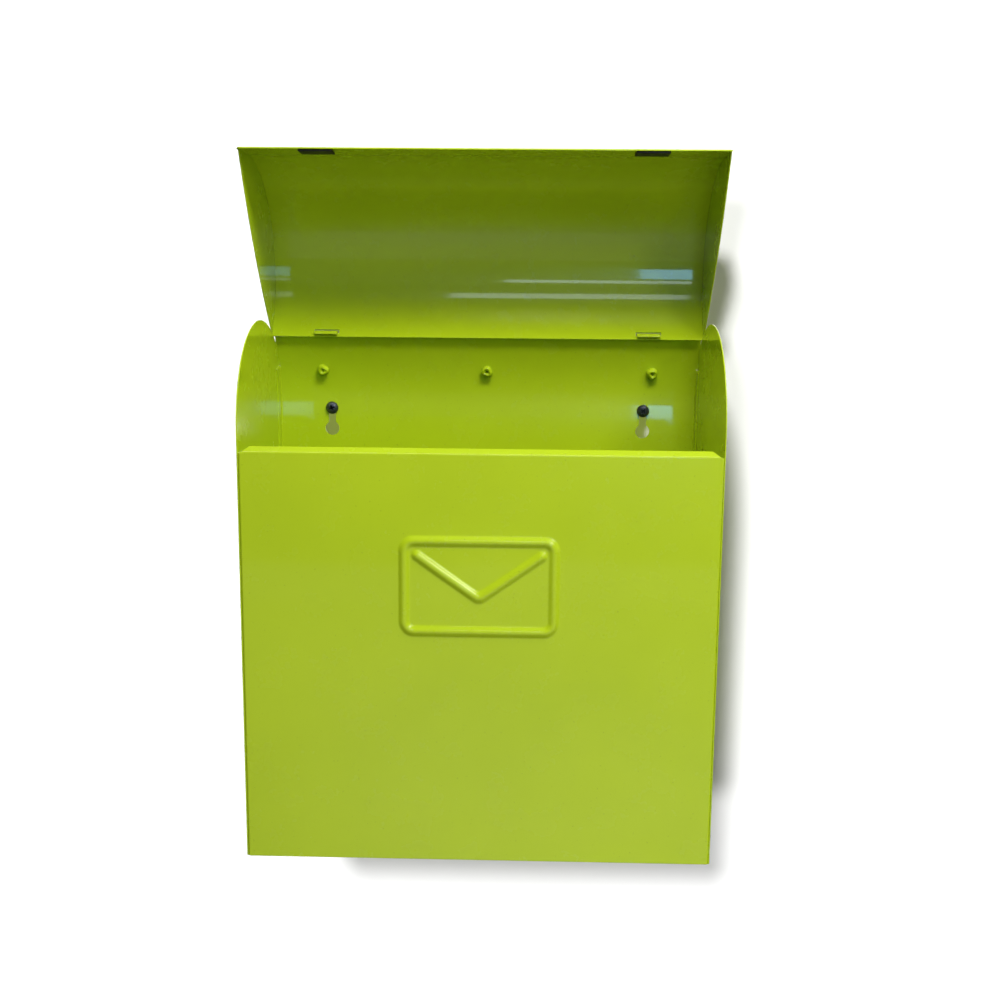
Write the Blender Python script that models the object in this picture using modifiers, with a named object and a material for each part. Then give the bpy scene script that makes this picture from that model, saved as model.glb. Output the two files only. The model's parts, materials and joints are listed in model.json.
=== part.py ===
"""Wall mounted mailbox: a box of folded sheet steel with a curved lid that lifts up.

Units are metres, +Z is up, the front faces -Y and the wall is at +Y. The origin is on the rear face
of the back panel, midway between the seats of its two wall screws. The lid is built closed, relative
to its hinge axis, and its parent empty swings it open.
"""
from math import acos, asin, atan2, cos, pi, radians, sin, sqrt

import bmesh
import bpy
from mathutils import Matrix, Vector

MM = 0.001

# Body, in folded sheet
BODY_WIDTH = 282 * MM
BODY_DEPTH = 117.5 * MM
FRONT_HEIGHT = 248.5 * MM
FRONT_TOP_Z = -17.5 * MM
SHEET = 0.8 * MM
GAP = 0.3 * MM
BEND = 1.2 * MM
BEND_STEPS = 3
FLANGE = 9 * MM
LIP_WIDTH = 3.9 * MM
LIP_TURN = radians(45)
DRAIN_RADIUS = 2 * MM
DRAIN_INSET = 25 * MM

# Side panels, whose tops are arcs that start level with the front panel's face
SIDE_SETBACK = 0.5 * MM
ARC_RADIUS = 65 * MM
ARC_START_Z = FRONT_TOP_Z + 10.5 * MM

# Lid
LID_CLEARANCE = 2.6 * MM
LID_WIDTH = 286 * MM
LID_OVERLAP = 14 * MM
LID_OPEN = radians(90)
LID_CORNER = 3 * MM
CHEEK_GAP = 0.6 * MM
CHEEK_BULGE = 5 * MM
PAD_SIZE = (19.5 * MM, 1.2 * MM, 13 * MM)
PAD_X = 97.5 * MM
PAD_EDGE = 1.5 * MM

# Hinge: two tongues that curl through two slots beside the lid's rear edge
HINGE_Y = -13 * MM
BRIDGE_HALF = 1.4 * MM
SLOT_WIDTH = 2.9 * MM
SLOT_LENGTH = 16.5 * MM
HOOK_X = 106 * MM
HOOK_WIDTH = 15.2 * MM
HOOK_RADIUS = 2.5 * MM
HOOK_END = radians(165)
HOOK_CLEARANCE = 2.1 * MM

# Curved top of the back panel, and the strip riveted behind it
CURVE_START_Z = 3 * MM
FLANGE_TOP_Z = 28 * MM
RELIEF = 1 * MM
STRIP_BOTTOM_Z = 19 * MM
STRIP_WIDTH = 252 * MM
RIVET_Z = 26 * MM
RIVET_X = 110 * MM
RIVET_SHANK = 2 * MM
RIVET_HEAD = 3.8 * MM
RIVET_BORE = 1 * MM

# Keyholes and their screws
KEYHOLE_X = 105 * MM
KEYHOLE_DROP = 13.8 * MM
KEYHOLE_RADIUS = 4.7 * MM
KEYHOLE_SLOT = 4.8 * MM
SCREW_HEAD = 4.2 * MM
SCREW_HEAD_HEIGHT = 2.9 * MM
SCREW_SHANK = 2.1 * MM
SCREW_LENGTH = 25 * MM
SCREW_POINT = 5 * MM
RECESS_SIZE = (4.6 * MM, 3 * MM, 1 * MM)

# Envelope embossed in the front panel
EMBLEM_DROP = 78 * MM
EMBLEM_SIZE = (88 * MM, 54 * MM)
EMBLEM_CORNER = 6 * MM
FLAP_INSET = (9 * MM, 8.5 * MM)
FLAP_POINT_Z = -6.5 * MM
BEAD_WIDTH = 5.2 * MM
BEAD_HEIGHT = 1.5 * MM

# Worked out from the driving dimensions; a flat Vector holds (Y, Z)
BOTTOM_Z = FRONT_TOP_Z - FRONT_HEIGHT
SIDE_INNER_X = BODY_WIDTH / 2 - SHEET
FLAT_X = SIDE_INNER_X - GAP - SHEET / 2 - BEND
ARC_CENTRE = Vector((-BODY_DEPTH + SIDE_SETBACK + ARC_RADIUS, ARC_START_Z))
LID_RADIUS = ARC_RADIUS + LID_CLEARANCE + SHEET / 2
LID_EDGE_Z = FRONT_TOP_Z - LID_OVERLAP
HINGE_REACH = HINGE_Y - ARC_CENTRE.x
HINGE = Vector((HINGE_Y, ARC_CENTRE.y + sqrt(LID_RADIUS**2 - HINGE_REACH**2)))
HINGE_ANGLE = atan2(HINGE.y - ARC_CENTRE.y, HINGE_REACH)
STRIP_OFFSET = SHEET + GAP
BEAD_RADIUS = (BEAD_WIDTH**2 / 4 + BEAD_HEIGHT**2) / (2 * BEAD_HEIGHT)


def back_curve_radius():
    """Radius at which the strip, outside the back panel's curve, runs smoothly into its hooks."""
    forward = -SHEET / 2 - HINGE.x
    rise = HINGE.y - CURVE_START_Z
    inset = HOOK_RADIUS - STRIP_OFFSET
    return (forward**2 + rise**2 - inset**2) / (2 * (forward - inset))


BACK_RADIUS = back_curve_radius()
BACK_CENTRE = Vector((-SHEET / 2 - BACK_RADIUS, CURVE_START_Z))
HOOK_START = atan2(HINGE.y - BACK_CENTRE.y, HINGE.x - BACK_CENTRE.x)
BACK_END = HOOK_START - HOOK_CLEARANCE / BACK_RADIUS
FLANGE_END = asin((FLANGE_TOP_Z - CURVE_START_Z) / BACK_RADIUS)
RIVET_ANGLE = asin((RIVET_Z - CURVE_START_Z) / BACK_RADIUS)

# Finishes: colour, roughness and metallic value
LIME = ((0.33, 0.43, 0.025), 0.3, 0.0)
RUBBER = ((0.012, 0.012, 0.01), 0.7, 0.0)
BLACK_STEEL = ((0.03, 0.03, 0.04), 0.35, 1.0)


def reset_scene():
    for existing in list(bpy.data.objects):
        bpy.data.objects.remove(existing, do_unlink=True)


def new_collection(name):
    collection = bpy.data.collections.new(name)
    bpy.context.scene.collection.children.link(collection)
    return collection


def new_material(name, finish):
    color, roughness, metallic = finish
    material = bpy.data.materials.new(name)
    material.use_nodes = True
    shader = material.node_tree.nodes["Principled BSDF"]
    shader.inputs["Base Color"].default_value = (*color, 1)
    shader.inputs["Roughness"].default_value = roughness
    shader.inputs["Metallic"].default_value = metallic
    return material


def add_object(name, bm, collection):
    """Turn a finished bmesh into an object, shaded smooth except at its sharp edges."""
    mesh = bpy.data.meshes.new(name)
    bm.to_mesh(mesh)
    bm.free()
    mesh.shade_smooth()
    mesh.set_sharp_from_angle(angle=radians(35))
    obj = bpy.data.objects.new(name, mesh)
    collection.objects.link(obj)
    return obj


def add_part(name, bm, finish):
    part = add_object(name, bm, parts)
    part.data.materials.append(new_material(name + "_finish", finish))
    return part


def add_cutter(name, bm):
    cutter = add_object(name, bm, cutters)
    cutter.hide_render = True
    cutter.display_type = "WIRE"
    return cutter


def add_sheet(name, bm):
    """A painted part of one sheet thickness, from the open surface at the middle of the sheet."""
    bmesh.ops.recalc_face_normals(bm, faces=bm.faces[:])
    sheet = add_part(name, bm, LIME)
    shell = sheet.modifiers.new("sheet", "SOLIDIFY")
    shell.thickness = SHEET
    shell.offset = 0
    shell.use_even_offset = True
    return sheet


def boolean(obj, tool, operation="DIFFERENCE"):
    cut = obj.modifiers.new(tool.name, "BOOLEAN")
    cut.operation = operation
    cut.object = tool


def arc(centre, radius, start, end, steps):
    """Points along an arc from angle start to angle end."""
    points = []
    for step in range(steps + 1):
        angle = start + (end - start) * step / steps
        points.append(Vector((centre.x + radius * cos(angle), centre.y + radius * sin(angle))))
    return points


def ribbon(points, stations):
    """An open surface: a (Y, Z) path repeated at each X station, and its vertices by station."""
    bm = bmesh.new()
    rows = [[bm.verts.new((x, point.x, point.y)) for point in points] for x in stations]
    for row, following in zip(rows, rows[1:]):
        strip_faces(bm, row, following)
    return bm, rows


def strip_faces(bm, row, following):
    for index in range(len(row) - 1):
        bm.faces.new((row[index], following[index], following[index + 1], row[index + 1]))


def turn_flange(bm, edge, outward, inward):
    """Fold a flange along an edge of a sheet: a bend, then a flat run in the direction inward."""
    steps = []
    for step in range(1, BEND_STEPS + 1):
        angle = pi / 2 * step / BEND_STEPS
        steps.append((BEND * sin(angle), BEND * (1 - cos(angle))))
    steps.append((BEND, FLANGE))
    previous = edge
    for out, rise in steps:
        row = [bm.verts.new(vert.co + outward * out + inward(vert.co) * rise) for vert in edge]
        strip_faces(bm, previous, row)
        previous = row


def cylinder(radius, start, end, segments):
    """A closed cylinder between two points."""
    bm = bmesh.new()
    axis = end - start
    turn = axis.to_track_quat("Z", "Y").to_matrix().to_4x4()
    bmesh.ops.create_cone(bm, cap_ends=True, segments=segments, radius1=radius, radius2=radius,
                          depth=axis.length, matrix=Matrix.Translation((start + end) / 2) @ turn)
    return bm


def block(centre, size, turn=0.0, about="X"):
    """A closed box, turned about one axis through its centre."""
    bm = bmesh.new()
    place = Matrix.Translation(centre) @ Matrix.Rotation(turn, 4, about)
    bmesh.ops.create_cube(bm, size=1, matrix=place @ Matrix.Diagonal((*size, 1)))
    return bm


def turned(name, profile, closed, finish, segments):
    """A turned part: a (radius, height) outline spun about its local Z axis."""
    bm = bmesh.new()
    verts = [bm.verts.new((radius, 0, height)) for radius, height in profile]
    for vert, following in zip(verts, verts[1:]):
        bm.edges.new((vert, following))
    if closed:
        bm.edges.new((verts[-1], verts[0]))
    part = add_part(name, bm, finish)
    spin = part.modifiers.new("turned", "SCREW")
    spin.steps = segments
    spin.render_steps = segments
    spin.use_merge_vertices = True
    spin.merge_threshold = 0.00005
    return part


def plate(name, outline, x):
    """A flat sheet standing across X."""
    bm = bmesh.new()
    bm.faces.new([bm.verts.new((x, point.x, point.y)) for point in outline])
    return add_sheet(name, bm)


def forward(_point):
    return Vector((0, -1, 0))


def backward(_point):
    return Vector((0, 1, 0))


def into_box(point):
    """The direction into the box, square to the back panel at a point of it."""
    if point.z <= CURVE_START_Z:
        return forward(point)
    return Vector((0, BACK_CENTRE.x - point.y, BACK_CENTRE.y - point.z)).normalized()


def emblem_paths():
    """The envelope's rim, a closed path, and its flap, an open one that stops short of the rim."""
    half_width, half_height = EMBLEM_SIZE[0] / 2, EMBLEM_SIZE[1] / 2
    rim = []
    for quarter, (side, level) in enumerate(((1, 1), (-1, 1), (-1, -1), (1, -1))):
        centre = Vector((side * (half_width - EMBLEM_CORNER), level * (half_height - EMBLEM_CORNER)))
        rim += arc(centre, EMBLEM_CORNER, quarter * pi / 2, (quarter + 1) * pi / 2, 4)
    tip = Vector((half_width - FLAP_INSET[0], half_height - FLAP_INSET[1]))
    point = Vector((0, FLAP_POINT_Z))
    shoulder = point.lerp(tip, 0.12) + Vector((0, MM / 2))
    flap = [tip, shoulder, point, Vector((-shoulder.x, shoulder.y)), Vector((-tip.x, tip.y))]
    return ("rim", rim, True), ("flap", flap, False)


def bead_tube(name, path, closed, radius):
    """A round tube along a path of the envelope, made a mesh so that it can cut or join."""
    curve = bpy.data.curves.new(name, "CURVE")
    curve.dimensions = "3D"
    curve.bevel_depth = radius
    curve.bevel_resolution = 3
    curve.use_fill_caps = True
    spline = curve.splines.new("POLY")
    spline.points.add(len(path) - 1)
    centre_y = -BODY_DEPTH + BEAD_RADIUS - BEAD_HEIGHT
    centre_z = FRONT_TOP_Z - EMBLEM_DROP
    for point, place in zip(spline.points, path):
        point.co = (place.x, centre_y, centre_z + place.y, 1)
    spline.use_cyclic_u = closed
    guide = bpy.data.objects.new(name + "_guide", curve)
    cutters.objects.link(guide)
    bpy.context.view_layer.update()
    evaluated = guide.evaluated_get(bpy.context.evaluated_depsgraph_get())
    bm = bmesh.new()
    bm.from_mesh(bpy.data.meshes.new_from_object(evaluated))
    bpy.data.objects.remove(guide, do_unlink=True)
    bmesh.ops.remove_doubles(bm, verts=bm.verts[:], dist=0.00001)
    bmesh.ops.recalc_face_normals(bm, faces=bm.faces[:])
    return add_cutter(name, bm)


def emboss(panel):
    """Press the envelope out of the front panel: a raised bead outside, and its groove inside."""
    depth = 4 * BEAD_RADIUS
    behind = Vector((0, -BODY_DEPTH + SHEET / 2 + depth / 2, FRONT_TOP_Z - EMBLEM_DROP))
    trim_size = (EMBLEM_SIZE[0] + depth, depth, EMBLEM_SIZE[1] + depth)
    trim = add_cutter("emblem_trim", block(behind, trim_size))
    for name, path, closed in emblem_paths():
        bead = bead_tube("emblem_bead_" + name, path, closed, BEAD_RADIUS)
        boolean(bead, trim)
        boolean(panel, bead, "UNION")
        boolean(panel, bead_tube("emblem_groove_" + name, path, closed, BEAD_RADIUS - SHEET))


def make_front_panel():
    """The front: a flat sheet with side returns, and a lip along its top with mitred ends."""
    face_y = -BODY_DEPTH + SHEET / 2
    lip_start = FRONT_TOP_Z - BEND / 2
    face = [Vector((face_y, BOTTOM_Z)), Vector((face_y, lip_start))]
    bm, rows = ribbon(face, (-FLAT_X, FLAT_X))
    for row, side in zip(rows, (-1, 1)):
        turn_flange(bm, row, Vector((side, 0, 0)), backward)
    lip = arc(Vector((face_y + BEND, lip_start)), BEND, pi, pi - LIP_TURN, 2)
    lip.append(lip[-1] + Vector((sin(LIP_TURN), cos(LIP_TURN))) * LIP_WIDTH)
    reach = FLAT_X
    previous = [rows[0][-1], rows[1][-1]]
    for point, following in zip(lip, lip[1:]):
        reach -= (following - point).length
        row = [bm.verts.new((x, following.x, following.y)) for x in (-reach, reach)]
        strip_faces(bm, previous, row)
        previous = row
    emboss(add_sheet("front_panel", bm))


def circles_meet(centre_a, radius_a, centre_b, radius_b):
    """The upper of the two points where two circles cross."""
    between = centre_b - centre_a
    apart = between.length
    along = (radius_a**2 - radius_b**2 + apart**2) / (2 * apart)
    foot = centre_a + between * (along / apart)
    sideways = Vector((-between.y, between.x)) * (sqrt(radius_a**2 - along**2) / apart)
    return max(foot + sideways, foot - sideways, key=lambda point: point.y)


def side_outline():
    """Outline of a side panel: an arc top, and a rear edge that follows the back panel."""
    rear_radius = BACK_RADIUS + SHEET / 2 - SIDE_SETBACK
    corner = circles_meet(ARC_CENTRE, ARC_RADIUS, BACK_CENTRE, rear_radius)
    arc_end = atan2(corner.y - ARC_CENTRE.y, corner.x - ARC_CENTRE.x)
    rear_start = atan2(corner.y - BACK_CENTRE.y, corner.x - BACK_CENTRE.x)
    outline = [Vector((-BODY_DEPTH + SIDE_SETBACK, BOTTOM_Z))]
    outline += arc(ARC_CENTRE, ARC_RADIUS, pi, arc_end, 20)
    outline += arc(BACK_CENTRE, rear_radius, rear_start, 0, 6)[1:]
    outline.append(Vector((-SIDE_SETBACK, BOTTOM_Z)))
    return outline


def make_side_panels():
    for name, side in (("left", -1), ("right", 1)):
        plate(name + "_side_panel", side_outline(), side * (SIDE_INNER_X + SHEET / 2))


def make_bottom_panel():
    """The floor: a shallow tray with rounded corners and two drain holes."""
    reach = SIDE_INNER_X - 2 * GAP - SHEET * 1.5
    front_y = -BODY_DEPTH + SHEET * 1.5 + GAP
    rear_y = -SHEET * 1.5 - GAP
    floor_z = BOTTOM_Z + SHEET / 2
    centre = Vector((0, (front_y + rear_y) / 2, floor_z + FLANGE / 2))
    bm = block(centre, (2 * reach, rear_y - front_y, FLANGE))
    top = max(bm.faces, key=lambda face: face.calc_center_median().z)
    bmesh.ops.delete(bm, geom=[top], context="FACES_ONLY")
    corners = [edge for edge in bm.edges if not edge.is_boundary]
    bmesh.ops.bevel(bm, geom=corners, offset=BEND, segments=BEND_STEPS, profile=0.5, affect="EDGES")
    tray = add_sheet("bottom_panel", bm)
    for name, side in (("left", -1), ("right", 1)):
        low = Vector((side * (reach - DRAIN_INSET), front_y + DRAIN_INSET, BOTTOM_Z - FLANGE))
        drain = cylinder(DRAIN_RADIUS, low, low + Vector((0, 0, 1.5 * FLANGE)), 12)
        boolean(tray, add_cutter("drain_" + name, drain))


def keyhole_cutter(name, x):
    """One keyhole: a round hole that passes the screw's head, and a slot up to the screw's seat."""
    half_slot = KEYHOLE_SLOT / 2
    opening = acos(half_slot / KEYHOLE_RADIUS)
    hole = Vector((x, -KEYHOLE_DROP))
    outline = arc(Vector((x, 0)), half_slot, 0, pi, 8)
    outline += arc(hole, KEYHOLE_RADIUS, pi - opening, 2 * pi + opening, 18)
    bm = bmesh.new()
    face = bm.faces.new([bm.verts.new((point.x, -FLANGE, point.y)) for point in outline])
    solid = bmesh.ops.extrude_face_region(bm, geom=[face])
    moved = [item for item in solid["geom"] if isinstance(item, bmesh.types.BMVert)]
    bmesh.ops.translate(bm, verts=moved, vec=(0, 2 * FLANGE, 0))
    bmesh.ops.recalc_face_normals(bm, faces=bm.faces[:])
    return add_cutter(name, bm)


def rivet_place(x, radius):
    """A point at one X and at a radius of the back's curve, on the line that the rivets point along."""
    place = BACK_CENTRE + Vector((cos(RIVET_ANGLE), sin(RIVET_ANGLE))) * radius
    return Vector((x, place.x, place.y))


def rivet_cutter(name, x):
    near = rivet_place(x, BACK_RADIUS - FLANGE)
    far = rivet_place(x, BACK_RADIUS + FLANGE)
    return add_cutter(name, cylinder(RIVET_SHANK + GAP, near, far, 16))


def make_back_panel(rivet_holes):
    """The back: flat up to its keyholes, then curved forward to the hinge, with side returns."""
    path = [Vector((-SHEET / 2, BOTTOM_Z))]
    path += arc(BACK_CENTRE, BACK_RADIUS, 0, FLANGE_END, 4)
    flanged = len(path)
    path += arc(BACK_CENTRE, BACK_RADIUS, FLANGE_END + RELIEF / BACK_RADIUS, BACK_END, 4)
    bm, rows = ribbon(path, (-FLAT_X, FLAT_X))
    for row, side in zip(rows, (-1, 1)):
        outward = Vector((side, 0, 0))
        turn_flange(bm, row[:flanged], outward, into_box)
        widened = [bm.verts.new(vert.co + outward * (BEND + SHEET / 2)) for vert in row[flanged:]]
        strip_faces(bm, row[flanged:], widened)
    panel = add_sheet("back_panel", bm)
    for name, side in (("left", -1), ("right", 1)):
        boolean(panel, keyhole_cutter("keyhole_" + name, side * KEYHOLE_X))
    for hole in rivet_holes:
        boolean(panel, hole)


def make_hinge_strip(rivet_holes):
    """The strip behind the back's curve: its two tongues curl forward over the hinge axis."""
    radius = BACK_RADIUS + STRIP_OFFSET
    start = asin((STRIP_BOTTOM_Z - CURVE_START_Z) / radius)
    left = [-STRIP_WIDTH / 2, -HOOK_X - HOOK_WIDTH / 2, -HOOK_X + HOOK_WIDTH / 2]
    stations = left + [-x for x in reversed(left)]
    bm, rows = ribbon(arc(BACK_CENTRE, radius, start, BACK_END, 4), stations)
    for sides in ((1, 2), (3, 4)):
        previous = [rows[side][-1] for side in sides]
        for point in arc(HINGE, HOOK_RADIUS, HOOK_START, HOOK_END, 8):
            row = [bm.verts.new((stations[side], point.x, point.y)) for side in sides]
            strip_faces(bm, previous, row)
            previous = row
    strip = add_sheet("hinge_strip", bm)
    for hole in rivet_holes:
        boolean(strip, hole)


def make_rivets():
    """Hollow rivets: a low head behind the strip, and a flared tail inside the box."""
    grip = SHEET + STRIP_OFFSET
    tail = grip + GAP
    profile = (
        (2.3 * MM, tail + 3.9 * MM),
        (2.9 * MM, tail + 3.1 * MM),
        (3.0 * MM, tail + 0.9 * MM),
        (2.5 * MM, tail),
        (RIVET_SHANK, tail),
        (RIVET_SHANK, -GAP),
        (RIVET_HEAD, -GAP),
        (RIVET_HEAD - 0.2 * MM, -0.7 * MM),
        (2.1 * MM, -1 * MM),
        (RIVET_BORE, -1 * MM),
        (RIVET_BORE, grip),
        (1.6 * MM, tail + 3.9 * MM),
    )
    for name, x in RIVETS:
        rivet = turned("rivet_" + name, profile, True, LIME, 16)
        rivet.location = rivet_place(x, BACK_RADIUS + STRIP_OFFSET + SHEET / 2)
        rivet.rotation_euler.x = pi / 2 + RIVET_ANGLE


def make_wall_screws():
    """Pan-head cross-recess screws, resting in the tops of the keyholes."""
    seat = SHEET + GAP
    crown = seat + SCREW_HEAD_HEIGHT
    profile = (
        (0, crown),
        (1.7 * MM, crown - 0.15 * MM),
        (3.2 * MM, crown - 0.8 * MM),
        (SCREW_HEAD, crown - 2 * MM),
        (SCREW_HEAD, seat + 0.3 * MM),
        (SCREW_HEAD - 0.3 * MM, seat),
        (SCREW_SHANK, seat),
        (SCREW_SHANK, seat - SCREW_LENGTH + SCREW_POINT),
        (0, seat - SCREW_LENGTH),
    )
    for name, side in (("left", -1), ("right", 1)):
        screw = turned("wall_screw_" + name, profile, False, BLACK_STEEL, 20)
        screw.location.x = side * KEYHOLE_X
        screw.rotation_euler.x = pi / 2
        for label, turn in (("rising", pi / 4), ("falling", -pi / 4)):
            slot = block(Vector((side * KEYHOLE_X, -crown, 0)), RECESS_SIZE, turn, "Y")
            boolean(screw, add_cutter(f"recess_{name}_{label}", slot))


def make_lid_cover(lid_axis):
    """One curved sheet, from the bridges behind its slots to the free edge of its front strip."""
    path = arc(ARC_CENTRE - HINGE, LID_RADIUS, HINGE_ANGLE - BRIDGE_HALF / LID_RADIUS, pi, 26)
    path.append(Vector((path[-1].x, LID_EDGE_Z - HINGE.y)))
    bm, rows = ribbon(path, (-LID_WIDTH / 2, LID_WIDTH / 2))
    corners = [row[end] for row in rows for end in (0, -1)]
    bmesh.ops.bevel(bm, geom=corners, offset=LID_CORNER, segments=3, profile=0.5, affect="VERTICES")
    cover = add_sheet("lid_cover", bm)
    cover.parent = lid_axis
    turn = HINGE_ANGLE + (BRIDGE_HALF + SLOT_WIDTH / 2) / LID_RADIUS
    slot = ARC_CENTRE - HINGE + Vector((cos(turn), sin(turn))) * LID_RADIUS
    for name, side in (("left", -1), ("right", 1)):
        place = Vector((side * HOOK_X, slot.x, slot.y))
        cutter = add_cutter("slot_" + name, block(place, (SLOT_LENGTH, 3 * MM, SLOT_WIDTH), turn))
        cutter.parent = lid_axis
        boolean(cover, cutter)


def cheek_outline():
    """Outline of a lid cheek: the cover's arc, and a lower edge that bulges slightly."""
    outline = arc(ARC_CENTRE - HINGE, LID_RADIUS - SHEET / 2 - GAP, HINGE_ANGLE, pi, 22)
    low = Vector((outline[-1].x, LID_EDGE_Z - HINGE.y + LID_CORNER))
    chord = outline[0] - low
    bulge_radius = (chord.length**2 / 4 + CHEEK_BULGE**2) / (2 * CHEEK_BULGE)
    square = Vector((chord.y, -chord.x)).normalized()
    centre = low + chord / 2 - square * (bulge_radius - CHEEK_BULGE)
    start = atan2(low.y - centre.y, low.x - centre.x)
    end = atan2(outline[0].y - centre.y, outline[0].x - centre.x)
    return outline + arc(centre, bulge_radius, start, end, 8)[:-1]


def make_lid_cheeks(lid_axis):
    for name, side in (("left", -1), ("right", 1)):
        x = side * (BODY_WIDTH / 2 + CHEEK_GAP + SHEET / 2)
        plate(f"lid_{name}_cheek", cheek_outline(), x).parent = lid_axis


def make_lid_pads(lid_axis):
    """Bump pads inside the front strip, which keep the closed lid off the front panel."""
    _width, thickness, length = PAD_SIZE
    strip_face = ARC_CENTRE.x - LID_RADIUS + SHEET / 2 - HINGE.x
    pad_y = strip_face + GAP + thickness / 2
    pad_z = LID_EDGE_Z - HINGE.y + PAD_EDGE + length / 2
    for name, side in (("left", -1), ("right", 1)):
        pad = add_part("lid_pad_" + name, block(Vector((side * PAD_X, pad_y, pad_z)), PAD_SIZE), RUBBER)
        pad.parent = lid_axis
        soft = pad.modifiers.new("soft", "BEVEL")
        soft.width = thickness / 4
        soft.segments = 2


def make_lid():
    lid_axis = bpy.data.objects.new("lid_axis", None)
    parts.objects.link(lid_axis)
    lid_axis.location = (0, HINGE.x, HINGE.y)
    lid_axis.rotation_euler.x = -LID_OPEN
    make_lid_cover(lid_axis)
    make_lid_cheeks(lid_axis)
    make_lid_pads(lid_axis)


RIVETS = (("left", -RIVET_X), ("centre", 0), ("right", RIVET_X))

reset_scene()
parts = new_collection("wall_mounted_mailbox")
cutters = new_collection("cutters")
rivet_cutters = [rivet_cutter("rivet_hole_" + name, x) for name, x in RIVETS]
make_front_panel()
make_side_panels()
make_bottom_panel()
make_back_panel(rivet_cutters)
make_hinge_strip(rivet_cutters)
make_rivets()
make_wall_screws()
make_lid()
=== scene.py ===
"""Studio picture of the wall mounted mailbox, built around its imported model.

Units are metres, +Z is up, the front faces -Y and the wall is at +Y. A flat Vector holds (Y, Z), or (X, Z)
on the envelope and in the keyholes' outline. Every CAD node has a finer piece that stands for it, of the
same size and in the same place. The lid's pieces are built closed, relative to its hinge, and then swung
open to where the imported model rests.
"""

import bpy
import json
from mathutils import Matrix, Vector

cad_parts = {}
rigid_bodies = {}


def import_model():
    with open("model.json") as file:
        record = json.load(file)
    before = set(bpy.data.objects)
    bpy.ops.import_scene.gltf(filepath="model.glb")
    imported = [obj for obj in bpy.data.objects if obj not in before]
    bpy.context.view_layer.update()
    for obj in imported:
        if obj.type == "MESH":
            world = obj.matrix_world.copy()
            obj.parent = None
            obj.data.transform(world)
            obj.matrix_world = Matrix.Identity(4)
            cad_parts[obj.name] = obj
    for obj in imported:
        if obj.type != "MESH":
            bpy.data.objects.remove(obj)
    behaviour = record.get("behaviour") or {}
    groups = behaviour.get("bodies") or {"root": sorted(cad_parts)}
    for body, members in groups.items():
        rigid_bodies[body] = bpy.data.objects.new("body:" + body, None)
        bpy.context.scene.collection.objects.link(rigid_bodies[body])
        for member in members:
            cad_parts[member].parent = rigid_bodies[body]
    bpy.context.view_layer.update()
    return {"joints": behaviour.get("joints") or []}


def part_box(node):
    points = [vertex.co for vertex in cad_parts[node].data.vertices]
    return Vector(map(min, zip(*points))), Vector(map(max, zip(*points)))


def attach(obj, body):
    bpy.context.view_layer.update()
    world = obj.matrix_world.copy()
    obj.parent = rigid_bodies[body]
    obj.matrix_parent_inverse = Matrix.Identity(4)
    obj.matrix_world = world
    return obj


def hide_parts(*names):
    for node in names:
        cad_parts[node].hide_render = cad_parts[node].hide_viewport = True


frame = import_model()

import json
from math import acos, asin, atan2, ceil, cos, hypot, pi, radians, sin, sqrt, tan

import bmesh
import bpy
from mathutils import Matrix, Vector, noise

MM = 0.001

# Sheets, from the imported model
panel_low, panel_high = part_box("right_side_panel")
SHEET = panel_high.x - panel_low.x
HALF_WIDTH = panel_high.x
FLOOR_Z = panel_low.z
SIDE_FRONT_Y = panel_low.y
LID_HALF_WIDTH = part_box("lid_cover")[1].x
HINGE = Vector(frame["joints"][0]["pos_m"][1:])
GAP = 0.3 * MM

# Folds and edges. Welded sheets sink a little into each other, so that no light shows at a seam
SINK = 0.1 * MM
EDGE_ROUND = 0.33 * MM
EDGE_STEPS = 3
EDGE_ANGLE = radians(48)
BEND = 1.2 * MM
BEND_STEPS = 6
FLANGE = 9 * MM
FLANGE_STEP = 2.5 * MM
FLAT_X = HALF_WIDTH - SHEET + SINK - SHEET / 2 - BEND

# Front panel
FRONT_Y = SIDE_FRONT_Y - 0.5 * MM
FRONT_TOP_Z = FLOOR_Z + 248.5 * MM
LIP_WIDTH = 3.9 * MM
LIP_TURN = radians(45)
WARP = 0.22 * MM
WARP_SCALE = 9
FRONT_WARP_SEED = 0
BACK_WARP_SEED = 3

# Envelope pressed in the front panel
EMBLEM_Z = FRONT_TOP_Z - 78 * MM
EMBLEM_HALF = Vector((44, 27)) * MM
EMBLEM_CORNER = 6 * MM
FLAP_TIP = Vector((35, 18.5)) * MM
FLAP_POINT_Z = -6.5 * MM
FLAP_ROUND = 1.5 * MM
BEAD_HALF = 3.7 * MM
BEAD_HEIGHT = 1.5 * MM
FINE_STEP = 0.6 * MM
COARSE_STEP = 10 * MM

# Side panels and lid, which share the centre of their arcs
ARC_RADIUS = 65 * MM
ARC_CENTRE = Vector((SIDE_FRONT_Y + ARC_RADIUS, FRONT_TOP_Z + 10.5 * MM))
ARC_STEPS = 72
SIDE_SETBACK = 0.5 * MM
LID_RADIUS = ARC_RADIUS + 2.6 * MM + SHEET / 2
LID_EDGE_Z = FRONT_TOP_Z - 14 * MM
LID_CORNER = 3.4 * MM
HINGE_ANGLE = atan2(HINGE.y - ARC_CENTRE.y, HINGE.x - ARC_CENTRE.x)
CHEEK_X = HALF_WIDTH + 0.6 * MM + SHEET / 2
CHEEK_BULGE = 5 * MM
CHEEK_STEPS = 80
CHEEK_SINK = 0.05 * MM
ROLL_MARK = 0.04 * MM
ROLL_CALM_REAR = 12 * MM
ROLL_CALM_FRONT = 40 * MM
COVER_STEP = 1.6 * MM
COVER_COLUMN = 0.05
CORNER_STEPS = 6

# Lid pads
PAD_X = 97.5 * MM
PAD_SIZE = Vector((19.5, 1.2, 13)) * MM
PAD_RISE = 1.5 * MM
PAD_ROUND = 0.35 * MM

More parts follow.
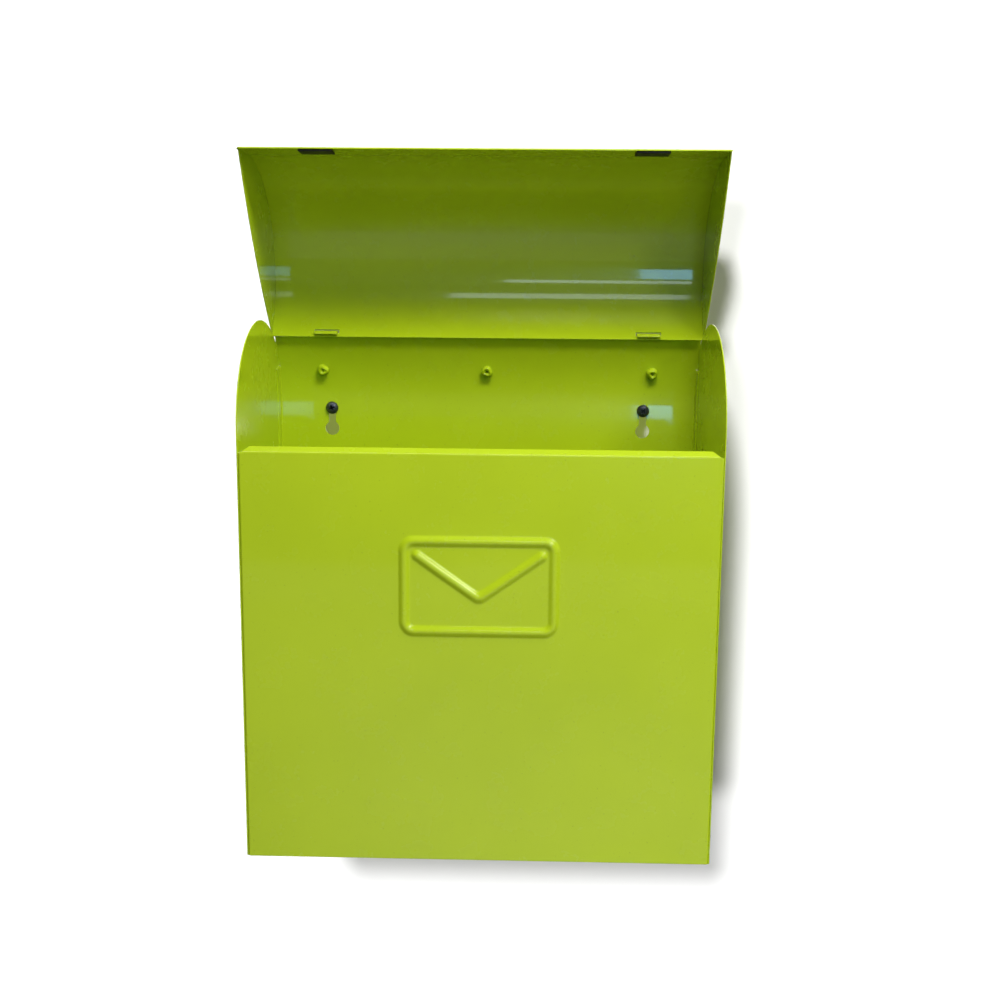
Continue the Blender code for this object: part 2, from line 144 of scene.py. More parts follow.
# Hinge
BRIDGE_HALF = 1.4 * MM
SLOT_WIDTH = 2.9 * MM
SLOT_LENGTH = 16.5 * MM
SLOT_DEPTH = 3 * MM
HOOK_X = 106 * MM
HOOK_HALF = 7.6 * MM
HOOK_RADIUS = 2.5 * MM
HOOK_END = radians(165)
HOOK_CLEARANCE = 2.1 * MM
STRIP_OFFSET = SHEET + GAP
STRIP_BOTTOM_Z = 19 * MM
STRIP_HALF = 126 * MM

# Back panel
CURVE_START_Z = 3 * MM
FLANGE_TOP_Z = 28 * MM
RELIEF = 0.15 * MM


def back_curve_radius():
    """Radius at which the strip, outside the back panel's curve, runs smoothly into its hooks."""
    forward = -SHEET / 2 - HINGE.x
    rise = HINGE.y - CURVE_START_Z
    inset = HOOK_RADIUS - STRIP_OFFSET
    return (forward**2 + rise**2 - inset**2) / (2 * (forward - inset))


BACK_RADIUS = back_curve_radius()
BACK_CENTRE = Vector((-SHEET / 2 - BACK_RADIUS, CURVE_START_Z))
HOOK_START = atan2(HINGE.y - BACK_CENTRE.y, HINGE.x - BACK_CENTRE.x)
BACK_END = HOOK_START - HOOK_CLEARANCE / BACK_RADIUS
FLANGE_END = asin((FLANGE_TOP_Z - CURVE_START_Z) / BACK_RADIUS)

# Rivets: heights are measured forward from the rear face of the hinge strip
RIVET_ANGLE = asin((26 * MM - CURVE_START_Z) / BACK_RADIUS)
RIVET_X = 110 * MM
RIVET_HOLE = 2.3 * MM
RIVET_SHANK = 2.0 * MM
RIVET_NECK = 2.2 * MM
RIVET_SWELL = 1.75 * MM
RIVET_TAIL_LENGTH = 4.2 * MM
RIVET_LEAN = 0.35 * MM
RIVET_LUMP_SCALE = 420

# Keyholes and wall screws
KEYHOLE_X = 105 * MM
KEYHOLE_DROP = 13.8 * MM
KEYHOLE_RADIUS = 4.7 * MM
KEYHOLE_SLOT = 4.8 * MM
SCREW_HEAD = 4.2 * MM
SCREW_SEAT = SHEET + GAP
SCREW_CROWN = SCREW_SEAT + 2.9 * MM
SCREW_LENGTH = 25 * MM
SCREW_POINT = 5 * MM
SCREW_SEGMENTS = 48
SCREW_SHARP = radians(38)
RECESS_MIDDLE = SCREW_CROWN - 0.6 * MM
RECESS_SIZE = (4.7 * MM, 1.05 * MM, 2.6 * MM)
RECESS_TAPER = (0.42, 0.62)
THREAD_RADIUS = 2.1 * MM
THREAD_CORE = 1.5 * MM
THREAD_PITCH = 1.8 * MM
THREAD_STEEPNESS = 3.2
THREAD_RUN_OUT = 2 * MM
TIP_SHARE = 0.02

# Bottom panel
DRAIN_RADIUS = 2 * MM
DRAIN_INSET = 25 * MM

# Stage
WALL_GAP = 35 * MM
WALL_HALF = 8
FLOOR_DROP = 0.5
FLOOR_RADIUS = 30
LIT_POINT = Vector((0, -0.06, -0.05))
LIGHT_DISTANCE = 2.2
WINDOW_DISTANCE = 3.0
WINDOW_LEVEL = 0.08
WARM = (1.05, 0.99, 0.97)

# Camera
CAMERA_PLACE = (0.02559, -0.75094, 0.05584)
CAMERA_LEFT = radians(1.245)
CAMERA_DOWN = radians(8.923)
CAMERA_ROLL = radians(0.543)
LENS_MM = 39.945
SENSOR_MM = 36

# The lid's pieces are built closed, relative to the hinge, and this swings them open
LID_OPEN = Matrix.Translation((0, HINGE.x, HINGE.y)) @ Matrix.Rotation(radians(-90), 4, "X")


# ---------------------------------------------------------------- materials

def node_of(material, kind, **settings):
    """A new node in a material, with its settings."""
    node = material.node_tree.nodes.new(kind)
    for key, value in settings.items():
        setattr(node, key, value)
    return node


def noise_of(material, place, scale, detail, roughness=0.5):
    """A noise texture that stays fixed to the piece."""
    texture = node_of(material, "ShaderNodeTexNoise")
    texture.inputs["Scale"].default_value = scale
    texture.inputs["Detail"].default_value = detail
    texture.inputs["Roughness"].default_value = roughness
    material.node_tree.links.new(place, texture.inputs["Vector"])
    return texture.outputs["Fac"]


def spread(material, value, low, high):
    """A noise value, mostly from 0.3 to 0.7, spread over a range."""
    remap = node_of(material, "ShaderNodeMapRange")
    remap.inputs["From Min"].default_value = 0.3
    remap.inputs["From Max"].default_value = 0.7
    remap.inputs["To Min"].default_value = low
    remap.inputs["To Max"].default_value = high
    material.node_tree.links.new(value, remap.inputs["Value"])
    return remap.outputs["Result"]


def blend_of(material, factor, first, second):
    """A colour between two colours, each given as RGB or as a socket."""
    mix = node_of(material, "ShaderNodeMix", data_type="RGBA")
    material.node_tree.links.new(factor, mix.inputs["Factor"])
    for socket, color in ((mix.inputs[6], first), (mix.inputs[7], second)):
        if isinstance(color, tuple):
            socket.default_value = (*color, 1)
        else:
            material.node_tree.links.new(color, socket)
    return mix.outputs[2]


def bump_of(material, height, strength, distance, under=None):
    """A bump from a height, on top of another bump if one is given."""
    bump = node_of(material, "ShaderNodeBump")
    bump.inputs["Strength"].default_value = strength
    bump.inputs["Distance"].default_value = distance
    material.node_tree.links.new(height, bump.inputs["Height"])
    if under:
        material.node_tree.links.new(under, bump.inputs["Normal"])
    return bump.outputs["Normal"]


def start_material(name, metallic=0.0):
    """A material with a Principled BSDF, and the socket that gives a point's place on the piece."""
    material = bpy.data.materials.new(name)
    material.use_nodes = True
    shader = material.node_tree.nodes["Principled BSDF"]
    shader.inputs["Metallic"].default_value = metallic
    place = node_of(material, "ShaderNodeTexCoord").outputs["Object"]
    return material, shader, place


def powder_coat():
    """Glossy lime powder coat: a slight orange peel, faint cloudiness and tiny darker flecks."""
    material, shader, place = start_material("lime_powder_coat")
    link = material.node_tree.links.new
    cloud = spread(material, noise_of(material, place, 14, 3), 0, 1)
    cloudy = blend_of(material, cloud, (0.385, 0.54, 0.0075), (0.41, 0.57, 0.0095))
    fleck = node_of(material, "ShaderNodeMapRange")
    fleck.inputs["From Min"].default_value = 0.68
    fleck.inputs["From Max"].default_value = 0.78
    link(noise_of(material, place, 620, 2), fleck.inputs["Value"])
    flecked = blend_of(material, fleck.outputs["Result"], cloudy, (0.29, 0.42, 0.006))
    link(flecked, shader.inputs["Base Color"])
    link(spread(material, noise_of(material, place, 45, 4, 0.6), 0.22, 0.3), shader.inputs["Roughness"])
    peel = bump_of(material, noise_of(material, place, 330, 2), 0.025, 0.00012)
    grain = bump_of(material, noise_of(material, place, 1400, 1), 0.03, 0.00005, peel)
    link(grain, shader.inputs["Normal"])
    shader.inputs["Specular IOR Level"].default_value = 0.3
    shader.inputs["Coat Weight"].default_value = 0.8
    shader.inputs["Coat Roughness"].default_value = 0.05
    link(peel, shader.inputs["Coat Normal"])
    return material


def black_rubber():
    """Moulded rubber with a fine grain."""
    material, shader, place = start_material("black_rubber")
    link = material.node_tree.links.new
    tone = spread(material, noise_of(material, place, 60, 4), 0, 1)
    link(blend_of(material, tone, (0.009, 0.009, 0.008), (0.02, 0.02, 0.017)), shader.inputs["Base Color"])
    link(spread(material, noise_of(material, place, 150, 3), 0.55, 0.75), shader.inputs["Roughness"])
    link(bump_of(material, noise_of(material, place, 1600, 3), 0.35, 0.0001), shader.inputs["Normal"])
    return material


def black_steel():
    """Black oxide on steel: nearly black, a little blue, and rubbed in places."""
    material, shader, place = start_material("black_oxide_steel", metallic=0.85)
    link = material.node_tree.links.new
    rub = spread(material, noise_of(material, place, 300, 4, 0.65), 0, 1)
    link(blend_of(material, rub, (0.05, 0.058, 0.08), (0.13, 0.145, 0.19)), shader.inputs["Base Color"])
    link(spread(material, noise_of(material, place, 500, 3), 0.25, 0.42), shader.inputs["Roughness"])
    link(bump_of(material, noise_of(material, place, 1100, 3), 0.2, 0.00008), shader.inputs["Normal"])
    return material


MATERIALS = {
    "lime_powder_coat": powder_coat(),
    "black_rubber": black_rubber(),
    "black_oxide_steel": black_steel(),
}


# ---------------------------------------------------------------- mesh helpers

def arc(centre, radius, start, end, steps):
    """Points along an arc from angle start to angle end."""
    points = []
    for step in range(steps + 1):
        angle = start + (end - start) * step / steps
        points.append(centre + Vector((cos(angle), sin(angle))) * radius)
    return points


def line(first, last, step):
    """Evenly spaced numbers from first to last, both included."""
    count = max(1, ceil(abs(last - first) / step))
    return [first + (last - first) * index / count for index in range(count + 1)]


def new_object(name, bm):
    """An object with the finished mesh, in the scene."""
    mesh = bpy.data.meshes.new(name)
    bm.to_mesh(mesh)
    bm.free()
    obj = bpy.data.objects.new(name, mesh)
    bpy.context.scene.collection.objects.link(obj)
    return obj


def settle(obj, cutters=()):
    """Apply an object's modifiers, and remove the shapes that cut it."""
    bpy.context.view_layer.update()
    evaluated = obj.evaluated_get(bpy.context.evaluated_depsgraph_get())
    settled = bpy.data.meshes.new_from_object(evaluated)
    obj.modifiers.clear()
    obj.data = settled
    for cutter in cutters:
        bpy.data.objects.remove(cutter, do_unlink=True)


def boolean(obj, cutters):
    """Cut an object with each cutter, once its modifiers are applied."""
    for cutter in cutters:
        cut = obj.modifiers.new(cutter.name, "BOOLEAN")
        cut.operation = "DIFFERENCE"
        cut.object = cutter


def finish_piece(obj, slot, body, stands_for):
    """Give a finished mesh its shading and material, tie it to its body, and hide the CAD node that it
    stands for.
    """
    obj.data.shade_smooth()
    obj.data.materials.clear()
    obj.data.materials.append(MATERIALS[slot])
    even = obj.modifiers.new("even_shading", "WEIGHTED_NORMAL")
    even.weight = 60
    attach(obj, body)
    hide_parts(stands_for)
    return obj


def sheet_piece(name, bm, body, stands_for, cutters=(), place=None):
    """A painted piece of one sheet thickness, from the open surface at the middle of the sheet."""
    bmesh.ops.recalc_face_normals(bm, faces=bm.faces[:])
    obj = new_object(name, bm)
    shell = obj.modifiers.new("sheet", "SOLIDIFY")
    shell.thickness = SHEET
    shell.offset = 0
    shell.use_even_offset = True
    boolean(obj, cutters)
    rounded = obj.modifiers.new("rounded_edges", "BEVEL")
    rounded.width = EDGE_ROUND
    rounded.segments = EDGE_STEPS
    rounded.limit_method = "ANGLE"
    rounded.angle_limit = EDGE_ANGLE
    settle(obj, cutters)
    if place:
        obj.data.transform(place)
    return finish_piece(obj, "lime_powder_coat", body, stands_for)


def skin(bm, rows, closed=False):
    """Join each row of vertices to the next with quads."""
    for row, following in zip(rows, rows[1:]):
        ends = range(len(row) if closed else len(row) - 1)
        for index in ends:
            beside = (index + 1) % len(row)
            bm.faces.new((row[index], following[index], following[beside], row[beside]))


def turn_flange(bm, edge, outward, inward):
    """Fold a flange along an edge of a sheet: a bend, then a flat run in the direction inward."""
    steps = []
    for step in range(1, BEND_STEPS + 1):
        angle = pi / 2 * step / BEND_STEPS
        steps.append((BEND * sin(angle), BEND * (1 - cos(angle))))
    steps += [(BEND, rise) for rise in line(BEND, FLANGE, FLANGE_STEP)[1:]]
    rows = [edge]
    for out, rise in steps:
        rows.append([bm.verts.new(vert.co + outward * out + inward(vert.co) * rise) for vert in edge])
    skin(bm, rows)


def block(centre, size, turn=0.0):
    """A closed box, turned about the X axis through its centre."""
    bm = bmesh.new()
    place = Matrix.Translation(centre) @ Matrix.Rotation(turn, 4, "X")
    bmesh.ops.create_cube(bm, size=1, matrix=place @ Matrix.Diagonal((*size, 1)))
    return bm


def cylinder(radius, start, end, segments):
    """A closed cylinder between two points."""
    bm = bmesh.new()
    axis = end - start
    turn = axis.to_track_quat("Z", "Y").to_matrix().to_4x4()
    bmesh.ops.create_cone(bm, cap_ends=True, segments=segments, radius1=radius, radius2=radius,
                          depth=axis.length, matrix=Matrix.Translation((start + end) / 2) @ turn)
    return bm


def prism(outline, low_y, high_y):
    """A closed solid between two planes across Y, from an (X, Z) outline."""
    bm = bmesh.new()
    face = bm.faces.new([bm.verts.new((point.x, low_y, point.y)) for point in outline])
    solid = bmesh.ops.extrude_face_region(bm, geom=[face])
    moved = [item for item in solid["geom"] if isinstance(item, bmesh.types.BMVert)]
    bmesh.ops.translate(bm, verts=moved, vec=(0, high_y - low_y, 0))
    bmesh.ops.recalc_face_normals(bm, faces=bm.faces[:])
    return bm


def plate(name, outline, x, body, stands_for, place=None):
    """A flat sheet standing across X."""
    bm = bmesh.new()
    bm.faces.new([bm.verts.new((x, point.x, point.y)) for point in outline])
    return sheet_piece(name, bm, body, stands_for, place=place)


def forward(_point):
    """The direction away from the wall."""
    return Vector((0, -1, 0))


def backward(_point):
    """The direction towards the wall."""
    return Vector((0, 1, 0))


def into_box(point):
    """The direction into the box, square to the back panel at a point of it."""
    if point.z <= CURVE_START_Z:
        return forward(point)
    return Vector((0, BACK_CENTRE.x - point.y, BACK_CENTRE.y - point.z)).normalized()


# ---------------------------------------------------------------- front panel

def rim_distance(x, z):
    """Distance from the middle of the envelope's rim, a rectangle with round corners."""
    out_x = abs(x) - EMBLEM_HALF.x + EMBLEM_CORNER
    out_z = abs(z) - EMBLEM_HALF.y + EMBLEM_CORNER
    outside = hypot(max(out_x, 0), max(out_z, 0))
    inside = min(max(out_x, out_z), 0)
    return abs(outside + inside - EMBLEM_CORNER)


def flap_distance(x, z):
    """Distance from the middle of the envelope's flap, a shallow V with a softened point."""
    point = Vector((sqrt(x * x + FLAP_ROUND**2) - FLAP_ROUND, z - FLAP_POINT_Z))
    run = FLAP_TIP - Vector((0, FLAP_POINT_Z))
    share = max(0, min(1, point.dot(run) / run.length_squared))
    return (point - run * share).length


def bead_height(x, z):
    """How far the pressed envelope stands proud of the front, at a point relative to its centre."""
    away = min(rim_distance(x, z), flap_distance(x, z)) / BEAD_HALF
    return BEAD_HEIGHT * (1 - min(away, 1)**2)**2


def warp(x, z, low_z, high_z, seed):
    """A gentle unevenness of a sheet, which fades out at its folds."""
    across = 1 - (x / FLAT_X)**6
    along = 1 - (2 * (z - low_z) / (high_z - low_z) - 1)**6
    return WARP * across * along * noise.noise(Vector((x * WARP_SCALE, seed, z * WARP_SCALE)))


def front_stations():
    """Columns and rows of the front panel's grid, close together where the envelope is."""
    fine_x = EMBLEM_HALF.x + BEAD_HALF
    fine_z = EMBLEM_HALF.y + BEAD_HALF
    right = line(fine_x, FLAT_X, COARSE_STEP)[1:]
    columns = [-x for x in reversed(right)] + line(-fine_x, fine_x, FINE_STEP) + right
    rows = line(FLOOR_Z, EMBLEM_Z - fine_z, COARSE_STEP)[:-1]
    rows += line(EMBLEM_Z - fine_z, EMBLEM_Z + fine_z, FINE_STEP)
    rows += line(EMBLEM_Z + fine_z, FRONT_TOP_Z - BEND / 2, COARSE_STEP)[1:]
    return columns, rows


def make_front_panel():
    """The front: a sheet with side returns, a pressed envelope, and a lip with mitred ends."""
    face_y = FRONT_Y + SHEET / 2
    columns, rows = front_stations()
    bm = bmesh.new()
    grid = []
    for z in rows:
        row = []
        for x in columns:
            proud = bead_height(x, z - EMBLEM_Z) + warp(x, z, rows[0], rows[-1], FRONT_WARP_SEED)
            row.append(bm.verts.new((x, face_y - proud, z)))
        grid.append(row)
    skin(bm, grid)
    for end, side in ((0, -1), (-1, 1)):
        turn_flange(bm, [row[end] for row in grid], Vector((side, 0, 0)), backward)
    lip = arc(Vector((face_y + BEND, rows[-1])), BEND, pi, pi - LIP_TURN, BEND_STEPS)
    lip += [lip[-1] + Vector((sin(LIP_TURN), cos(LIP_TURN))) * out for out in (LIP_WIDTH / 2, LIP_WIDTH)]
    reach = FLAT_X
    lip_rows = [grid[-1]]
    for point, following in zip(lip, lip[1:]):
        reach -= (following - point).length
        share = reach / FLAT_X
        lip_rows.append([bm.verts.new((x * share, following.x, following.y)) for x in columns])
    skin(bm, lip_rows)
    sheet_piece("front_panel_sheet", bm, "box", "front_panel")


# ---------------------------------------------------------------- sides, bottom and back

def circles_meet(centre_a, radius_a, centre_b, radius_b):
    """The upper of the two points where two circles cross."""
    between = centre_b - centre_a
    apart = between.length
    along = (radius_a**2 - radius_b**2 + apart**2) / (2 * apart)
    foot = centre_a + between * (along / apart)
    sideways = Vector((-between.y, between.x)) * (sqrt(radius_a**2 - along**2) / apart)
    return max(foot + sideways, foot - sideways, key=lambda point: point.y)


def side_outline():
    """Outline of a side panel: an arc top, and a rear edge that follows the back panel."""
    rear_radius = BACK_RADIUS + SHEET / 2 - SIDE_SETBACK
    corner = circles_meet(ARC_CENTRE, ARC_RADIUS, BACK_CENTRE, rear_radius)
    arc_end = atan2(corner.y - ARC_CENTRE.y, corner.x - ARC_CENTRE.x)
    rear_start = atan2(corner.y - BACK_CENTRE.y, corner.x - BACK_CENTRE.x)
    outline = [Vector((SIDE_FRONT_Y, FLOOR_Z))]
    outline += arc(ARC_CENTRE, ARC_RADIUS, pi, arc_end, ARC_STEPS)
    outline += arc(BACK_CENTRE, rear_radius, rear_start, 0, 20)[1:]
    outline.append(Vector((-SIDE_SETBACK, FLOOR_Z)))
    return outline


def make_side_panels():
    """Two flat sheets, which mirror each other."""
    for name, side in (("left", -1), ("right", 1)):
        x = side * (HALF_WIDTH - SHEET / 2)
        plate(name + "_side_sheet", side_outline(), x, "box", name + "_side_panel")


def make_bottom_panel():
    """The floor: a shallow tray with rounded corners and two drain holes, inside the side returns."""
    reach = HALF_WIDTH - SHEET - 2 * GAP - SHEET * 1.5
    front_y = FRONT_Y + SHEET * 1.5 + GAP
    rear_y = -SHEET * 1.5 - GAP
    centre = Vector((0, (front_y + rear_y) / 2, FLOOR_Z + SHEET / 2 + FLANGE / 2))
    bm = block(centre, (2 * reach, rear_y - front_y, FLANGE))
    top = max(bm.faces, key=lambda face: face.calc_center_median().z)
    bmesh.ops.delete(bm, geom=[top], context="FACES_ONLY")
    corners = [edge for edge in bm.edges if not edge.is_boundary]
    bmesh.ops.bevel(bm, geom=corners, offset=BEND, segments=BEND_STEPS, profile=0.5, affect="EDGES")
    drains = []
    for name, side in (("left", -1), ("right", 1)):
        low = Vector((side * (reach - DRAIN_INSET), front_y + DRAIN_INSET, FLOOR_Z - FLANGE))
        drain = cylinder(DRAIN_RADIUS, low, low + Vector((0, 0, 1.5 * FLANGE)), 40)
        drains.append(new_object("drain_" + name, drain))
    sheet_piece("bottom_tray", bm, "box", "bottom_panel", drains)


def keyhole_cutter(name, x):
    """One keyhole: a round hole that passes the screw's head, and a slot up to the screw's seat."""
    half_slot = KEYHOLE_SLOT / 2
    opening = acos(half_slot / KEYHOLE_RADIUS)
    outline = arc(Vector((x, 0)), half_slot, 0, pi, 20)
    outline += arc(Vector((x, -KEYHOLE_DROP)), KEYHOLE_RADIUS, pi - opening, 2 * pi + opening, 44)
    return new_object(name, prism(outline, -FLANGE, FLANGE))


def rivet_place(x, radius):
    """A point at one X and at a radius of the back's curve, on the line that the rivets point along."""
    place = BACK_CENTRE + Vector((cos(RIVET_ANGLE), sin(RIVET_ANGLE))) * radius
    return Vector((x, place.x, place.y))


def rivet_cutters():
    """Cutters for the three rivets' holes."""
    cutters = []
    for x in (-RIVET_X, 0, RIVET_X):
        near = rivet_place(x, BACK_RADIUS - FLANGE)
        far = rivet_place(x, BACK_RADIUS + FLANGE)
        cutters.append(new_object("rivet_hole", cylinder(RIVET_HOLE, near, far, 32)))
    return cutters


def make_back_panel():
    """The back: flat up to its keyholes, then curved forward to the hinge, with side returns."""
    path = [Vector((-SHEET / 2, z)) for z in line(FLOOR_Z, CURVE_START_Z, COARSE_STEP)[:-1]]
    path += arc(BACK_CENTRE, BACK_RADIUS, 0, FLANGE_END, 14)
    flanged = len(path)
    path += arc(BACK_CENTRE, BACK_RADIUS, FLANGE_END + RELIEF / BACK_RADIUS, BACK_END, 12)
    columns = line(-FLAT_X, FLAT_X, COARSE_STEP)
    bm = bmesh.new()
    rows = []
    for point in path:
        row = []
        for x in columns:
            inward = into_box(Vector((x, point.x, point.y)))
            uneven = warp(x, point.y, FLOOR_Z, path[-1].y, BACK_WARP_SEED) - WARP / 2
            row.append(bm.verts.new(Vector((x, point.x, point.y)) + inward * max(uneven, 0)))
        rows.append(row)
    skin(bm, rows)
    for end, side in ((0, -1), (-1, 1)):
        outward = Vector((side, 0, 0))
        edge = [row[end] for row in rows]
        turn_flange(bm, edge[:flanged], outward, into_box)
        widened = [bm.verts.new(vert.co + outward * (BEND + SHEET)) for vert in edge[flanged:]]
        skin(bm, [edge[flanged:], widened])
    cutters = [keyhole_cutter("keyhole", side * KEYHOLE_X) for side in (-1, 1)]
    sheet_piece("back_panel_sheet", bm, "box", "back_panel", cutters + rivet_cutters())


def make_hinge_strip():
    """The strip behind the back's curve: its two tongues curl forward over the hinge axis."""
    radius = BACK_RADIUS + STRIP_OFFSET
    start = asin((STRIP_BOTTOM_Z - CURVE_START_Z) / radius)
    inner = HOOK_X - HOOK_HALF
    outer = HOOK_X + HOOK_HALF
    half = line(0, inner, 2 * COARSE_STEP)[1:] + line(inner, outer, 3 * MM)[1:] + [STRIP_HALF]
    stations = [-x for x in reversed(half)] + [0] + half
    bm = bmesh.new()
    rows = []
    for point in arc(BACK_CENTRE, radius, start, BACK_END, 14):
        rows.append([bm.verts.new((x, point.x, point.y)) for x in stations])
    skin(bm, rows)
    slack = MM / 9
    for side in (-1, 1):
        picked = [index for index, x in enumerate(stations) if inner - slack <= side * x <= outer + slack]
        hook_rows = [[rows[-1][index] for index in picked]]
        for point in arc(HINGE, HOOK_RADIUS, HOOK_START, HOOK_END, 18):
            hook_rows.append([bm.verts.new((stations[index], point.x, point.y)) for index in picked])
        skin(bm, hook_rows)
    sheet_piece("hinge_strip_sheet", bm, "box", "hinge_strip", rivet_cutters())


# ---------------------------------------------------------------- rivets and screws

def lathe(name, profile, segments, shape):
    """A turned solid from a closed (radius, height) outline, with a change to each point."""
    bm = bmesh.new()
    rings = []
    for radius, height in profile:
        ring = []
        for segment in range(segments):
            angle = 2 * pi * segment / segments
            point = Vector((radius * cos(angle), radius * sin(angle), height))
            ring.append(bm.verts.new(shape(point, angle)))
        rings.append(ring)
    skin(bm, rings + [rings[0]], closed=True)
    bmesh.ops.recalc_face_normals(bm, faces=bm.faces[:])
    return new_object(name, bm)


def rivet_profile(tail):
    """A blind rivet's outline: shank, swollen tail, folded lip, choked bore and low head."""
    tip = tail + RIVET_TAIL_LENGTH
    outline = [(RIVET_SHANK, -GAP), (RIVET_SHANK, tail - 0.1 * MM)]
    for share in (0.02, 0.1, 0.2, 0.35, 0.5, 0.65, 0.8, 0.9):
        bulge = RIVET_SWELL * sin(pi * share)**0.7
        outline.append((RIVET_NECK + bulge, tail + RIVET_TAIL_LENGTH * share**1.1))
    outline += [
        (2.7 * MM, tip),
        (2.2 * MM, tip + 0.15 * MM),
        (1.5 * MM, tip - 0.05 * MM),
        (1.0 * MM, tip - 0.7 * MM),
        (0.9 * MM, tip - 1.2 * MM),
        (0.05 * MM, tip - 1.5 * MM),
        (0.05 * MM, -1 * MM),
        (2.1 * MM, -1 * MM),
        (2.9 * MM, -0.93 * MM),
        (3.6 * MM, -0.7 * MM),
        (3.8 * MM, -0.45 * MM),
        (3.75 * MM, -GAP),
    ]
    return outline


def make_rivets():
    """Blind rivets: a low head behind the strip, and a burst tail inside the box, thick with paint."""
    tail = SHEET + STRIP_OFFSET + GAP
    profile = rivet_profile(tail)
    for number, (name, x) in enumerate((("left", -RIVET_X), ("centre", 0), ("right", RIVET_X))):

        def burst(point, angle, number=number):
            share = max(0, min(1, (point.z - tail - 0.4 * MM) / RIVET_TAIL_LENGTH))
            petals = 0.13 * cos(3 * angle + 2.1 * number) + 0.08 * cos(2 * angle + number)
            lump = 0.22 * noise.noise(point * RIVET_LUMP_SCALE + Vector((9 * number, 0, 0)))
            lean = Vector((cos(2.4 * number), sin(2.4 * number), 0)) * RIVET_LEAN * share
            flat = Vector((point.x, point.y, 0)) * (1 + share * (petals + lump))
            return flat + lean + Vector((0, 0, point.z * (1 + 0.05 * share * cos(angle - number))))

        rivet = lathe(f"rivet_{name}_body", profile, 36, burst)
        smooth = rivet.modifiers.new("thick_paint", "SUBSURF")
        smooth.levels = 1
        smooth.render_levels = 1
        settle(rivet)
        seat = Matrix.Translation(rivet_place(x, BACK_RADIUS + STRIP_OFFSET + SHEET / 2))
        rivet.data.transform(seat @ Matrix.Rotation(pi / 2 + RIVET_ANGLE, 4, "X"))
        finish_piece(rivet, "lime_powder_coat", "box", "rivet_" + name)


def recess_cutter(name, turn):
    """One bar of a cross recess, narrower at the bottom, in the screw's own frame."""
    bm = block(Vector((0, 0, RECESS_MIDDLE)), RECESS_SIZE)
    for vert in bm.verts:
        if vert.co.z < RECESS_MIDDLE:
            vert.co.x *= RECESS_TAPER[0]
            vert.co.y *= RECESS_TAPER[1]
    bm.transform(Matrix.Rotation(turn, 4, "Z"))
    return new_object(name, bm)


def thread_radius(height, angle):
    """Radius of the screw's shank: a spiral ridge that runs out under the head and at the point."""
    top = SCREW_SEAT - THREAD_RUN_OUT
    low = SCREW_SEAT - SCREW_LENGTH
    turns = (height / THREAD_PITCH - angle / (2 * pi)) % 1
    ridge = max(0, 1 - abs(turns - 0.5) * THREAD_STEEPNESS)
    run_out = max(0, min(1, (top - height) / THREAD_RUN_OUT))
    point = max(TIP_SHARE, min(1, (height - low) / SCREW_POINT))
    return (THREAD_CORE + (THREAD_RADIUS - THREAD_CORE) * ridge * run_out) * point


def make_screw(name):
    """One screw: a pan head, a threaded shank and a point, still without its cross recess."""
    profile = [
        (1.2 * MM, SCREW_CROWN - 0.03 * MM),
        (2.1 * MM, SCREW_CROWN - 0.2 * MM),
        (2.9 * MM, SCREW_CROWN - 0.55 * MM),
        (3.6 * MM, SCREW_CROWN - 1.1 * MM),
        (4.02 * MM, SCREW_CROWN - 1.7 * MM),
        (SCREW_HEAD, SCREW_CROWN - 2.2 * MM),
        (SCREW_HEAD, SCREW_SEAT + 0.35 * MM),
        (SCREW_HEAD - 0.12 * MM, SCREW_SEAT + 0.1 * MM),
        (SCREW_HEAD - 0.4 * MM, SCREW_SEAT),
    ]
    shank_rows = line(SCREW_SEAT - 0.1 * MM, SCREW_SEAT - SCREW_LENGTH + 0.1 * MM, THREAD_PITCH / 9)
    bm = bmesh.new()
    rings = []
    for radius, height in profile + [(None, height) for height in shank_rows]:
        ring = []
        for segment in range(SCREW_SEGMENTS):
            angle = 2 * pi * segment / SCREW_SEGMENTS
            reach = thread_radius(height, angle) if radius is None else radius
            ring.append(bm.verts.new((reach * cos(angle), reach * sin(angle), height)))
        rings.append(ring)
    skin(bm, rings, closed=True)
    crown = bm.verts.new((0, 0, SCREW_CROWN))
    tip = bm.verts.new((0, 0, SCREW_SEAT - SCREW_LENGTH))
    for ring, apex in ((rings[0], crown), (rings[-1], tip)):
        for index in range(SCREW_SEGMENTS):
            bm.faces.new((ring[index], ring[(index + 1) % SCREW_SEGMENTS], apex))
    bmesh.ops.recalc_face_normals(bm, faces=bm.faces[:])
    return new_object(name, bm)


def make_wall_screws():
    """Pan-head cross-recess screws, resting in the tops of the keyholes."""
    for name, side, turn in (("left", -1, 0.35), ("right", 1, 0.9)):
        screw = make_screw(f"wall_screw_{name}_body")
        bars = [recess_cutter("recess", turn), recess_cutter("recess", turn + pi / 2)]
        boolean(screw, bars)
        settle(screw, bars)
        place = Matrix.Translation((side * KEYHOLE_X, 0, 0)) @ Matrix.Rotation(pi / 2, 4, "X")
        screw.data.transform(place)
        finish_piece(screw, "black_oxide_steel", "box", "wall_screw_" + name)
        screw.data.set_sharp_from_angle(angle=SCREW_SHARP)


# ---------------------------------------------------------------- lid

def cover_point(along, lift):
    """A point of the closed lid's cross-section, at a distance from its rear edge."""
    start = HINGE_ANGLE - BRIDGE_HALF / LID_RADIUS
    arc_length = (pi - start) * LID_RADIUS
    angle = min(start + along / LID_RADIUS, pi)
    point = ARC_CENTRE - HINGE + Vector((cos(angle), sin(angle))) * (LID_RADIUS + lift)
    return point - Vector((0, max(0, along - arc_length)))


